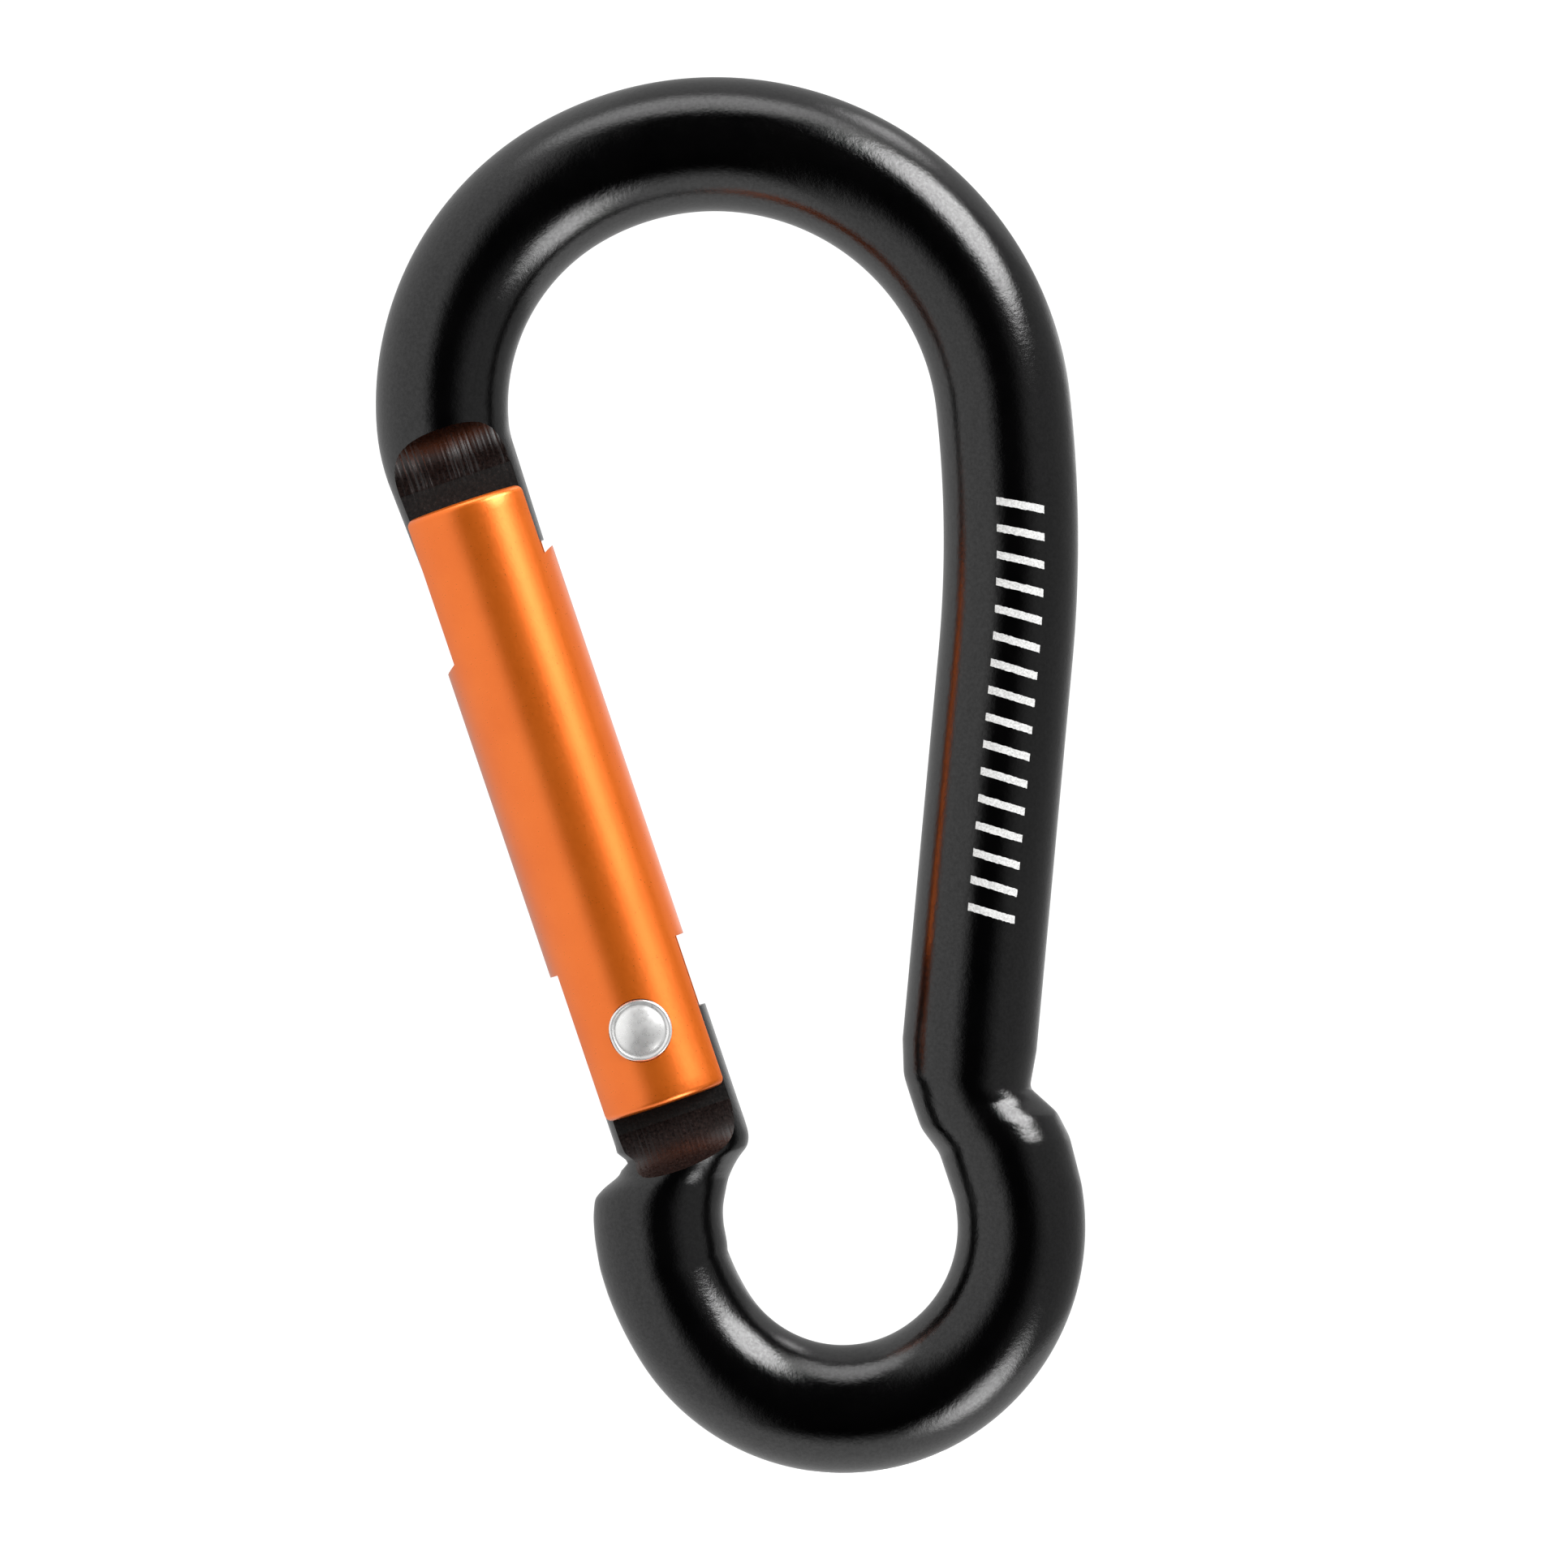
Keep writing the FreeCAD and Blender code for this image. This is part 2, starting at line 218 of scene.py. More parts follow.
def lathe(name, profile, matrix, material=None, segments=RING, wobble=None):
    """A turned solid: profile is (radius, height) about local z, closed at both ends."""
    rings = []
    for radius, height in profile:
        ring = []
        for i in range(segments):
            angle = 2 * math.pi * i / segments
            r = radius * (1 + (wobble(angle, radius) if wobble else 0))
            ring.append(matrix @ Vector((r * math.cos(angle), r * math.sin(angle), height)))
        rings.append(ring)
    vertices, faces = tube(rings)
    return outward(new_object(name, vertices, faces, material))


def box_tool(name, low, high, matrix):
    """A box between two corners of the matrix's own frame, for cutting."""
    spans = list(zip(low, high))
    corners = [matrix @ Vector((x, y, z)) for z in spans[2] for y in spans[1] for x in spans[0]]
    faces = [(0, 2, 3, 1), (4, 5, 7, 6), (0, 1, 5, 4), (2, 6, 7, 3), (0, 4, 6, 2), (1, 3, 7, 5)]
    return outward(new_object(name, corners, faces))


def combine(piece, tool, operation):
    """Exact boolean with the tool, which is then removed."""
    change = piece.modifiers.new(operation, "BOOLEAN")
    change.operation = operation
    change.solver = "EXACT"
    change.object = tool
    change.material_mode = "TRANSFER"
    depsgraph = bpy.context.evaluated_depsgraph_get()
    depsgraph.update()
    result = bpy.data.meshes.new_from_object(piece.evaluated_get(depsgraph))
    piece.modifiers.clear()
    piece.data = result
    bpy.data.objects.remove(tool)
    return piece


def ease_edges(piece, width, segments, sharper_than, keep):
    """Rounds, in the mesh itself, the sharp edges whose middle keep() agrees to."""
    work = bmesh.new()
    work.from_mesh(piece.data)
    bmesh.ops.remove_doubles(work, verts=work.verts, dist=0.004 * MM)
    bmesh.ops.dissolve_degenerate(work, dist=0.002 * MM, edges=work.edges)
    limit = math.radians(sharper_than)
    edges = [
        edge
        for edge in work.edges
        if len(edge.link_faces) == 2
        and edge.calc_face_angle(0) > limit
        and keep((edge.verts[0].co + edge.verts[1].co) / 2 / MM)
    ]
    bmesh.ops.bevel(
        work,
        geom=edges,
        offset=width * MM,
        offset_type="OFFSET",
        segments=segments,
        profile=0.5,
        affect="EDGES",
        clamp_overlap=True,
        material=-1,
    )
    work.to_mesh(piece.data)
    work.free()
    return piece


def smooth(piece, angle):
    """Smooth shading, with edges sharper than the angle in degrees kept sharp."""
    for polygon in piece.data.polygons:
        polygon.use_smooth = True
    piece.data.set_sharp_from_angle(angle=math.radians(angle))
    return piece


# ---------------------------------------------------------------- materials
def nodes_of(material):
    """The material's emptied node tree, with one principled shader on its output."""
    material.use_nodes = True
    tree = material.node_tree
    tree.nodes.clear()
    output = tree.nodes.new("ShaderNodeOutputMaterial")
    shader = tree.nodes.new("ShaderNodeBsdfPrincipled")
    tree.links.new(shader.outputs[0], output.inputs[0])
    return tree, shader


def noise(tree, scale, detail=3.0, roughness=0.55, stretch=(1, 1, 1), turn=0.0):
    """Noise in object space. scale is in features per metre, stretch squeezes it by axis."""
    place = tree.nodes.new("ShaderNodeTexCoord")
    mapping = tree.nodes.new("ShaderNodeMapping")
    mapping.inputs["Scale"].default_value = stretch
    mapping.inputs["Rotation"].default_value = (0, turn, 0)
    texture = tree.nodes.new("ShaderNodeTexNoise")
    texture.inputs["Scale"].default_value = scale
    texture.inputs["Detail"].default_value = detail
    texture.inputs["Roughness"].default_value = roughness
    tree.links.new(place.outputs["Object"], mapping.inputs["Vector"])
    tree.links.new(mapping.outputs[0], texture.inputs["Vector"])
    return texture.outputs["Fac"]


def spread(tree, value, low, high, start=0.0, end=1.0):
    """value from start to end becomes low to high."""
    ranged = tree.nodes.new("ShaderNodeMapRange")
    ranged.inputs["From Min"].default_value = start
    ranged.inputs["From Max"].default_value = end
    ranged.inputs["To Min"].default_value = low
    ranged.inputs["To Max"].default_value = high
    tree.links.new(value, ranged.inputs["Value"])
    return ranged.outputs[0]


def ramp(tree, value, stops):
    """Colour from a value, through stops of position and colour."""
    node = tree.nodes.new("ShaderNodeValToRGB")
    elements = node.color_ramp.elements
    for element, (position, colour) in zip(elements, stops):
        element.position = position
        element.color = (*colour, 1)
    for position, colour in stops[2:]:
        elements.new(position).color = (*colour, 1)
    tree.links.new(value, node.inputs["Fac"])
    return node.outputs["Color"]


def relief(tree, shader, height, depth):
    """Bump from a height in 0 to 1, with its depth in metres."""
    bump = tree.nodes.new("ShaderNodeBump")
    bump.inputs["Strength"].default_value = 1.0
    bump.inputs["Distance"].default_value = depth
    tree.links.new(height, bump.inputs["Height"])
    tree.links.new(bump.outputs[0], shader.inputs["Normal"])


def colour_by(tree, shader, value, stops):
    tree.links.new(ramp(tree, value, stops), shader.inputs["Base Color"])


def roughness_by(tree, shader, value, low, high, start=0.3, end=0.7):
    tree.links.new(spread(tree, value, low, high, start, end), shader.inputs["Roughness"])


def added(tree, first, second):
    node = tree.nodes.new("ShaderNodeMath")
    node.operation = "ADD"
    tree.links.new(first, node.inputs[0])
    tree.links.new(second, node.inputs[1])
    return node.outputs[0]


def black_anodised():
    """Glossy black with a fine grain, which breaks up the lamps' reflections."""
    material = bpy.data.materials.new("black_anodised_gloss")
    tree, shader = nodes_of(material)
    cloud = noise(tree, 260, 4)
    dark = (0.0008, 0.0008, 0.0009)
    light = (0.0019, 0.0018, 0.0019)
    colour_by(tree, shader, cloud, ((0.3, dark), (0.75, light)))
    roughness_by(tree, shader, noise(tree, 1500, 5, 0.65), 0.085, 0.15)
    shader.inputs["IOR"].default_value = 1.5
    grain = noise(tree, 5200, 4, 0.7)
    tree.links.new(spread(tree, grain, 0.57, 0.41, 0.35, 0.65), shader.inputs["Specular IOR Level"])
    fine = spread(tree, grain, 0, 1.3)
    broad = spread(tree, noise(tree, 1100, 2, 0.5), 0, 1.6)
    relief(tree, shader, added(tree, fine, broad), 8.5 * MICRON)
    return material


def milled_black(name, colours, rough_low, rough_high, depth):
    """Matte black where the anodising sits on a cut face, speckled brown."""
    material = bpy.data.materials.new(name)
    tree, shader = nodes_of(material)
    speckle = noise(tree, 7000, 4, 0.7)
    colour_by(tree, shader, speckle, tuple(zip((0.35, 0.6, 0.76), colours)))
    roughness_by(tree, shader, speckle, rough_low, rough_high)
    shader.inputs["Specular IOR Level"].default_value = 0.4
    relief(tree, shader, speckle, depth)
    return material


def orange_anodised():
    """Satin orange under a thin clear coat, with a grain along the gate."""
    material = bpy.data.materials.new("orange_anodised_satin")
    tree, shader = nodes_of(material)
    cloud = noise(tree, 350, 4)
    deep = (0.87, 0.165, 0.010)
    pale = (0.92, 0.185, 0.014)
    colour_by(tree, shader, cloud, ((0.3, deep), (0.7, pale)))
    shader.inputs["Metallic"].default_value = 0.6
    shader.inputs["Coat Weight"].default_value = 0.35
    shader.inputs["Coat Roughness"].default_value = 0.22
    roughness_by(tree, shader, noise(tree, 5200, 4, 0.6), 0.27, 0.35)
    grain = noise(tree, 5200, 3, 0.6, (1, 1, 0.6), math.radians(GATE_HEADING - 90))
    relief(tree, shader, grain, 4.5 * MICRON)
    return material


def bright_metal(name, colour, metallic, rough_low, rough_high, depth):
    """Bare metal with slight clouds in its colour and shallow dents."""
    material = bpy.data.materials.new(name)
    tree, shader = nodes_of(material)
    cloud = noise(tree, 900, 4)
    darker = tuple(0.86 * c for c in colour)
    colour_by(tree, shader, cloud, ((0.3, darker), (0.7, colour)))
    shader.inputs["Metallic"].default_value = metallic
    roughness_by(tree, shader, noise(tree, 3000, 4), rough_low, rough_high)
    relief(tree, shader, noise(tree, 1500, 2, 0.5), depth)
    return material


def etched():
    """The pale, rough metal that a laser leaves."""
    material = bpy.data.materials.new("laser_etch")
    tree, shader = nodes_of(material)
    grain = noise(tree, 9000, 4, 0.7)
    grey = (0.42, 0.42, 0.41)
    pale = (0.80, 0.80, 0.79)
    colour_by(tree, shader, grain, ((0.3, grey), (0.6, pale)))
    roughness_by(tree, shader, grain, 0.6, 0.85, 0.0, 1.0)
    relief(tree, shader, grain, 6 * MICRON)
    return material


GLOSS = black_anodised()
GROOVED_COLOURS = ((0.004, 0.0022, 0.002), (0.012, 0.006, 0.005), (0.04, 0.024, 0.02))
MATTE_COLOURS = ((0.0012, 0.001, 0.001), (0.005, 0.0035, 0.003), (0.035, 0.024, 0.021))
RUN_OUT = milled_black("black_anodised_grooved", GROOVED_COLOURS, 0.24, 0.42, 4 * MICRON)
FLAT = milled_black("black_anodised_matte", MATTE_COLOURS, 0.4, 0.55, 8 * MICRON)
ORANGE = orange_anodised()
RIVET_METAL = bright_metal("rivet_aluminium", (0.95, 0.95, 0.94), 0.6, 0.24, 0.36, 4 * MICRON)
STEEL = bright_metal("turned_steel", (0.6, 0.6, 0.61), 1.0, 0.22, 0.34, 3 * MICRON)
ETCH = etched()


# ---------------------------------------------------------------- body
def section(x, z, half_width, heading, half_thickness=STEP_THICKNESS):
    """An oval cut across the rod."""
    return {"x": x, "z": z, "wide": half_width, "heading": heading, "thick": half_thickness}


def bend(start, heading, radius, turn, rod, end_rod, spacing):
    """Sections along a clockwise bend, whose rod goes from one radius to another, and its end."""
    centre = start + heading_vector(heading - 90) * radius
    steps = max(3, round(radius * math.radians(turn) / spacing))
    sections = []
    for step in range(steps + 1):
        now = heading - turn * step / steps
        point = centre + heading_vector(now + 90) * radius
        here = rod + (end_rod - rod) * step / steps
        sections.append(section(point.x, point.z, here, now, here))
    return sections, point, now


def blended(first, last, step, steps):
    """The section that is step of steps on the way from first to last."""
    return {key: first[key] + (last[key] - first[key]) * step / steps for key in first}


def between(first, last, spacing=0.12):
    """Sections evenly spread between two, without the first."""
    reach = math.hypot(last["x"] - first["x"], last["z"] - first["z"])
    steps = max(2, round(reach / spacing))
    return [blended(first, last, step, steps) for step in range(1, steps + 1)]


def upper_sections(spacing=0.45):
    """Sections from the nose round the large bow to the end of the spine."""
    start = in_gate(NOSE_SHIFT, NOSE_END)
    point = in_gate(0, NOSE_TOP)
    heading = GATE_HEADING
    sections = [section(start.x, start.z, NOSE_ROD, heading, NOSE_ROD)]
    sections += between(sections[0], section(point.x, point.z, NOSE_TOP_ROD, heading, NOSE_TOP_ROD), 0.25)
    for radius, turn, end_rod in LARGE_BOW:
        arc, point, heading = bend(point, heading, radius, turn, sections[-1]["wide"], end_rod, spacing)
        sections += arc[1:]
    point = point + heading_vector(heading) * SPINE_LENGTH
    return sections + between(sections[-1], section(point.x, point.z, ROD, heading, ROD), 0.3)


def rod_sections():
    """Every section of the body from the nose's end to the tail's end, and where it is pressed."""
    sections = upper_sections()
    spine_step = len(sections)
    for target in SPINE_STEP:
        sections += between(sections[-1], section(*target))
    sections += between(sections[-1], section(*BOW_START, BOW_ROD, BOW_HEADING, BOW_ROD))
    bow = len(sections)
    point = Vector((BOW_START[0], 0, BOW_START[1]))
    heading = BOW_HEADING
    for radius, turn in SMALL_BOW:
        arc, point, heading = bend(point, heading, radius, turn, BOW_ROD, BOW_ROD, 0.3)
        sections += arc[1:]
    heel_step = len(sections)
    for target in HEEL_STEP:
        sections += between(sections[-1], section(*target))
    tail_heading = GATE_HEADING - 360
    for up in (TAIL_FOOT, TAIL_END):
        place = in_gate(TAIL_SHIFT, up)
        sections += between(sections[-1], section(place.x, place.z, TAIL_ROD, tail_heading, TAIL_ROD))
    return sections, ((spine_step, bow), (heel_step, len(sections)))


def ring_of(cut):
    """The section's skin points."""
    side = heading_vector(cut["heading"] + 90)
    centre = Vector((cut["x"], 0, cut["z"]))
    points = []
    for i in range(RING):
        angle = 2 * math.pi * i / RING
        across = side * (cut["wide"] * math.cos(angle))
        out = Vector((0, cut["thick"] * math.sin(angle), 0))
        points.append(centre + across + out)
    return points


def soften(rings, first, last, passes=6):
    """Rounds the corners where the rod was pressed to a step, by averaging along it."""
    grid = np.array([[tuple(p) for p in ring] for ring in rings])
    for _ in range(passes):
        inner = 0.25 * grid[first - 1:last - 1] + 0.5 * grid[first:last] + 0.25 * grid[first + 1:last + 1]
        grid[first:last] = inner
    return [[Vector(p) for p in ring] for ring in grid]


def ridge(across):
    """Height of the cutter's chatter marks, in mm."""
    swell = 0.75 + 0.35 * math.sin(across * 2.3 + 0.6)
    return swell * sum(height * math.sin(across * rate + phase) for rate, phase, height in CHATTER)


def mill_tool(name, side, low, centre, toward, groove):
    """The milling cutter's path: a flat from low to centre and a grooved, round run-out beyond it."""
    half = TANG / 2
    fade = 0.5
    groove_at_corner = 0.8
    run_out_turn = 80
    side_shift = 0.3
    profile = []
    flat_steps = 14
    for step in range(flat_steps):
        up = low + (centre - toward * fade - low) * step / (flat_steps - 1)
        profile.append((up, half, 0.0))
    profile.append((centre, half, groove_at_corner * groove))
    arc_steps = 30
    for step in range(1, arc_steps + 1):
        angle = math.radians(run_out_turn) * step / arc_steps
        rise = CUTTER * (1 - math.cos(angle))
        profile.append((centre + toward * CUTTER * math.sin(angle), half + rise, groove))
    across_steps = 190
    wide = 5.0
    vertices = []
    for step in range(across_steps + 1):
        across = -wide + 2 * wide * step / across_steps
        for up, y, share in profile:
            height = share * ridge(across + side_shift * side)
            vertices.append(in_gate(across, up, side * (y + height)))
        vertices.append(in_gate(across, profile[-1][0], side * REACH))
        vertices.append(in_gate(across, low, side * REACH))
    count = len(profile) + 2
    faces = []
    for step in range(across_steps):
        a = step * count
        for i in range(count):
            j = (i + 1) % count
            faces.append((a + i, a + j, a + count + j, a + count + i))
    faces.append(tuple(range(count)))
    faces.append(tuple(across_steps * count + i for i in reversed(range(count))))
    tool = new_object(name, vertices, faces, RUN_OUT)
    tool.data.materials.append(FLAT)
    for number, polygon in enumerate(tool.data.polygons):
        if number < across_steps * count and number % count < flat_steps:
            polygon.material_index = 1
    return outward(tool)


def notch_tool():
    """The small sharp nick between the tail's outer face and the heel, open to the outside."""
    rings = [[in_gate(across, up, y) for across, up in NICK] for y in (-REACH, REACH)]
    vertices, faces = tube(rings)
    return outward(new_object("notch_tool", vertices, faces, GLOSS))


def eye_plate():
    """Flat eye round the pivot, with the lobe that lifts the plunger."""
    outline = []
    steps = 40
    for step in range(steps + 1):
        angle = math.pi * (1.0 - 0.5 * step / steps)
        outline.append((EYE * math.cos(angle), EYE * math.sin(angle)))
    for step in range(1, steps + 1):
        angle = math.pi * (0.5 - 0.5 * step / steps)
        outline.append((LOBE + EYE * math.cos(angle), EYE * math.sin(angle)))
    root = -2.0
    outline.append((LOBE + EYE, root))
    outline.append((-EYE, root))
    rings = [[in_gate(across, up, y) for across, up in outline] for y in (-TANG / 2, TANG / 2)]
    vertices, faces = tube(rings)
    return outward(new_object("eye_plate", vertices, faces, FLAT))


def pivot_drill(name, radius, material):
    """Cylinder along the pivot's axis, for drilling."""
    matrix = Matrix.Translation(PIVOT) @ Matrix.Rotation(math.radians(90), 4, "X")
    return lathe(name, [(radius, -DRILL_REACH), (radius, DRILL_REACH)], matrix, material, 64)


def make_body():
    """The bent rod with its pressed shoulders and milled tangs, in one piece."""
    sections, corners = rod_sections()
    rings = [ring_of(cut) for cut in sections]
    for first, last in corners:
        rings = soften(rings, first, last - 1)
    vertices, faces = tube(rings)
    body = outward(new_object("carabiner_body", vertices, faces, GLOSS))
    past = 1.0
    for side in (-1, 1):
        nose_mill = mill_tool("nose_mill", side, NOSE_END - past, NOSE_CUTTER, 1, NOSE_GROOVE)
        combine(body, nose_mill, "DIFFERENCE")
        tail_mill = mill_tool("tail_mill", side, TAIL_END + past, TAIL_CUTTER, -1, TAIL_GROOVE)
        combine(body, tail_mill, "DIFFERENCE")
    combine(body, notch_tool(), "DIFFERENCE")
    combine(body, eye_plate(), "UNION")
    combine(body, pivot_drill("eye_drill", EYE_HOLE, FLAT), "DIFFERENCE")
    smooth(body, 28)
    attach(body, "body")
    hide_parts("body")
    return body


# ---------------------------------------------------------------- gate and what is in it
def gate_profile():
    """The gate's rod with its rounded ends, as radius and height."""
    profile = []
    steps = 6
    for step in range(steps + 1):
        angle = math.pi / 2 * step / steps
        inset = GATE_EDGE * (1 - math.sin(angle))
        profile.append((GATE - inset, -GATE_DOWN + GATE_EDGE * (1 - math.cos(angle))))
    long_steps = 60
    low = -GATE_DOWN + GATE_EDGE
    high = GATE_UP - GATE_EDGE
    for step in range(1, long_steps):
        profile.append((GATE, low + (high - low) * step / long_steps))
    for step in range(steps + 1):
        angle = math.pi / 2 * (1 - step / steps)
        inset = GATE_EDGE * (1 - math.sin(angle))
        profile.append((GATE - inset, GATE_UP - GATE_EDGE * (1 - math.cos(angle))))
    return profile


def make_gate():
    """The orange rod, slotted for both tangs, bored for the spring and drilled for the rivet."""
    matrix = gate_matrix()
    gate = lathe("gate_rod", gate_profile(), matrix, ORANGE, 96)
    half = SLOT / 2
    lower_saw = box_tool("saw_low", (-REACH, -half, LOWER_SLOT - REACH), (REACH, half, LOWER_SLOT), matrix)
    combine(gate, lower_saw, "DIFFERENCE")
    rise = UPPER_SLOT[1] - UPPER_SLOT[0]
    slant = Matrix.Rotation(-math.atan2(rise, 2 * GATE), 4, "Y")
    seat = matrix @ Matrix.Translation((0, 0, sum(UPPER_SLOT) / 2)) @ slant
    high_half = UPPER_SLOT_WIDTH / 2
    upper_saw = box_tool("saw_high", (-REACH, -high_half, 0), (REACH, high_half, REACH), seat)
    combine(gate, upper_saw, "DIFFERENCE")
    bore = lathe("bore", [(BORE, LOWER_SLOT - 1), (BORE, BORE_END)], matrix, ORANGE, 48)
    combine(gate, bore, "DIFFERENCE")
    combine(gate, pivot_drill("rivet_drill", RIVET, ORANGE), "DIFFERENCE")
    for side in (-1, 1):
        turn = Matrix.Translation(PIVOT) @ Matrix.Rotation(math.radians(90 * -side), 4, "X")
        seat_tool = lathe("seat", [(RIVET_HEAD, HEAD_SEAT), (RIVET_HEAD, DRILL_REACH)], turn, ORANGE, 64)
        combine(gate, seat_tool, "DIFFERENCE")

    def clear_of_rivet(point):
        margin = 0.1
        return math.hypot(point.x - PIVOT.x, point.z - PIVOT.z) > RIVET_HEAD + margin

    ease_edges(gate, width=0.11, segments=3, sharper_than=38, keep=clear_of_rivet)
    smooth(gate, 30)
    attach(gate, "gate")
    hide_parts("gate")
    return gate


def make_rivet():
    """Shank with a rimmed, domed head peened at each side."""
    seeded = random.Random(7)
    phases = [seeded.uniform(0, 2 * math.pi) for _ in range(5)]
    unevenness = 0.008

    def wobble(angle, radius):
        if radius < RIVET_HEAD * 0.8:
            return 0.0
        return unevenness * sum(math.sin((k + 2) * angle + phases[k]) for k in range(5)) / 2

    head = [
        (RIVET, 0.0),
        (RIVET, HEAD_SEAT + 0.02),
        (RIVET_HEAD - 0.06, HEAD_SEAT + 0.02),
        (RIVET_HEAD - 0.02, HEAD_SEAT + 0.08),
        (RIVET_HEAD - 0.02, HEAD_SEAT + 0.36),
        (RIVET_HEAD - 0.06, HEAD_SEAT + 0.44),
        (RIVET_HEAD - 0.14, HEAD_SEAT + 0.47),
        (RIVET_HEAD - 0.24, HEAD_SEAT + 0.44),
        (RIVET_HEAD - 0.31, HEAD_SEAT + 0.40),
        (RIVET_HEAD - 0.38, HEAD_SEAT + 0.41),
    ]
    dome_steps = 14
    base = RIVET_HEAD - DOME_INSET
    tip = 0.004
    for step in range(dome_steps + 1):
        radius = tip if step == dome_steps else base * (1 - step / dome_steps)
        head.append((radius, HEAD_SEAT + DOME_FOOT + DOME_RISE * (1 - (radius / base) ** 2)))
    profile = [(r, -h) for r, h in reversed(head)] + head[1:]
    matrix = Matrix.Translation(PIVOT) @ Matrix.Rotation(math.radians(90), 4, "X")
    rivet = lathe("pivot_rivet_peened", profile, matrix, RIVET_METAL, 72, wobble)
    smooth(rivet, 50)
    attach(rivet, "gate")
    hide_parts("pivot_rivet")
    return rivet


def make_plunger():
    """The pin that the spring presses on the eye's lobe, with the stem that guides the spring."""
    low = EYE + 0.02
    top = EYE + PLUNGER_HEAD
    centre = 0.05
    profile = [
        (centre, low),
        (PLUNGER - 0.25, low),
        (PLUNGER - 0.1, low + 0.05),
        (PLUNGER, low + 0.2),
        (PLUNGER, top - 0.12),
        (PLUNGER - 0.12, top),
        (GUIDE + 0.05, top),
        (GUIDE, top + 0.05),
        (GUIDE, top + GUIDE_LENGTH - 0.2),
        (GUIDE - 0.2, top + GUIDE_LENGTH),
        (centre, top + GUIDE_LENGTH),
    ]
    plunger = lathe("spring_plunger", profile, gate_matrix(), STEEL, 48)
    smooth(plunger, 35)
    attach(plunger, "plunger")
    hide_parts("plunger")
    return plunger


def make_spring():
    """Coil of round wire whose first and last turns lie close, as a wound spring's do."""
    low = EYE + PLUNGER_HEAD + SPRING_GAP + WIRE
    high = BORE_END - SPRING_GAP - WIRE
    closed_pitch = 0.42
    closing_turns = 1.2
    steps = 520
    sides = 10
    heights = []
    total = 0.0
    for step in range(steps + 1):
        turn = SPRING_TURNS * step / steps
        heights.append(total)
        openness = min(1.0, min(turn, SPRING_TURNS - turn) / closing_turns)
        total += closed_pitch + (1 - closed_pitch) * openness
    span = heights[-1]
    matrix = gate_matrix()
    line = []
    for step in range(steps + 1):
        angle = 2 * math.pi * SPRING_TURNS * step / steps
        up = low + (high - low) * heights[step] / span
        line.append(Vector((COIL * math.cos(angle), COIL * math.sin(angle), up)))
    rings = []
    for step, point in enumerate(line):
        along = (line[min(step + 1, steps)] - line[max(step - 1, 0)]).normalized()
        out = Vector((point.x, point.y, 0)).normalized()
        other = along.cross(out).normalized()
        out = other.cross(along)
        ring = []
        for i in range(sides):
            angle = 2 * math.pi * i / sides
            ring.append(matrix @ (point + (out * math.cos(angle) + other * math.sin(angle)) * WIRE))
        rings.append(ring)
    vertices, faces = tube(rings)
    spring = outward(new_object("return_spring", vertices, faces, STEEL))
    smooth(spring, 60)
    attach(spring, "gate")
    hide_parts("spring")
    return spring


# ---------------------------------------------------------------- generic etched bars
def make_bars():
    """A row of slanted bars on the spine's front face. They spell nothing."""
    line = upper_sections(0.1)
    run = [cut for cut in line if cut["x"] > 0 and BAR_BOTTOM < cut["z"] < BAR_TOP]
    lengths = [0.0]
    for before, after in zip(run, run[1:]):
        lengths.append(lengths[-1] + math.hypot(after["x"] - before["x"], after["z"] - before["z"]))
    total = lengths[-1]
    values_along = [np.array([cut[key] for cut in run]) for key in ("x", "z", "heading")]
    height = 2.7
    stroke = 0.44
    lean = 0.55
    offset = 0.45
    lift = ROD + 0.006
    uneven = 0.02
    rows = 28
    columns = 5
    seeded = random.Random(3)
    vertices = []
    faces = []
    for bar in range(BARS):
        middle = total * (bar + 0.5) / BARS
        first = len(vertices)
        for row in range(rows + 1):
            share = row / rows - 0.5
            across = offset + share * height
            for column in range(columns + 1):
                side = column / columns - 0.5
                rough = seeded.uniform(-uneven, uneven) if column in (0, columns) else 0
                along = middle + side * stroke + share * lean + rough
                x, z, heading = (float(np.interp(along, lengths, values)) for values in values_along)
                sine = across / ROD
                sideways = heading_vector(heading + 90) * (lift * sine)
                forward = Vector((0, -lift * math.sqrt(1 - sine * sine), 0))
                vertices.append(Vector((x, 0, z)) + sideways + forward)
        for row in range(rows):
            for column in range(columns):
                a = first + row * (columns + 1) + column
                faces.append((a, a + 1, a + columns + 2, a + columns + 1))
    bars = outward(new_object("spine_etched_bars", vertices, faces, ETCH))
    smooth(bars, 60)
    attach(bars, "body")
    return bars


make_body()
make_gate()
make_rivet()
make_plunger()
make_spring()
make_bars()

# ---------------------------------------------------------------- light, floor and camera
ROLL = math.radians(8.8)
LOOK_AT = Vector((0.83, 0, -33.01)) * MM
VIEW_WIDTH = 89.45 * MM
PAPER_STRENGTH = 1.1
# round lamps: across, up, full out to, gone by, strength, and how much narrower than tall
LAMPS = (
    (0.245, 0.245, 0.095, 0.135, 13.0, 1.0),
    (0.235, -0.285, 0.035, 0.14, 8.0, 1.0),
    (-0.02, 0.40, 0.05, 0.12, 3.0, 0.42),
    (0.28, 0.53, 0.02, 0.12, 3.0, 1.0),
    (0.82, 0.27, 0.06, 0.18, 0.35, 1.0),
)


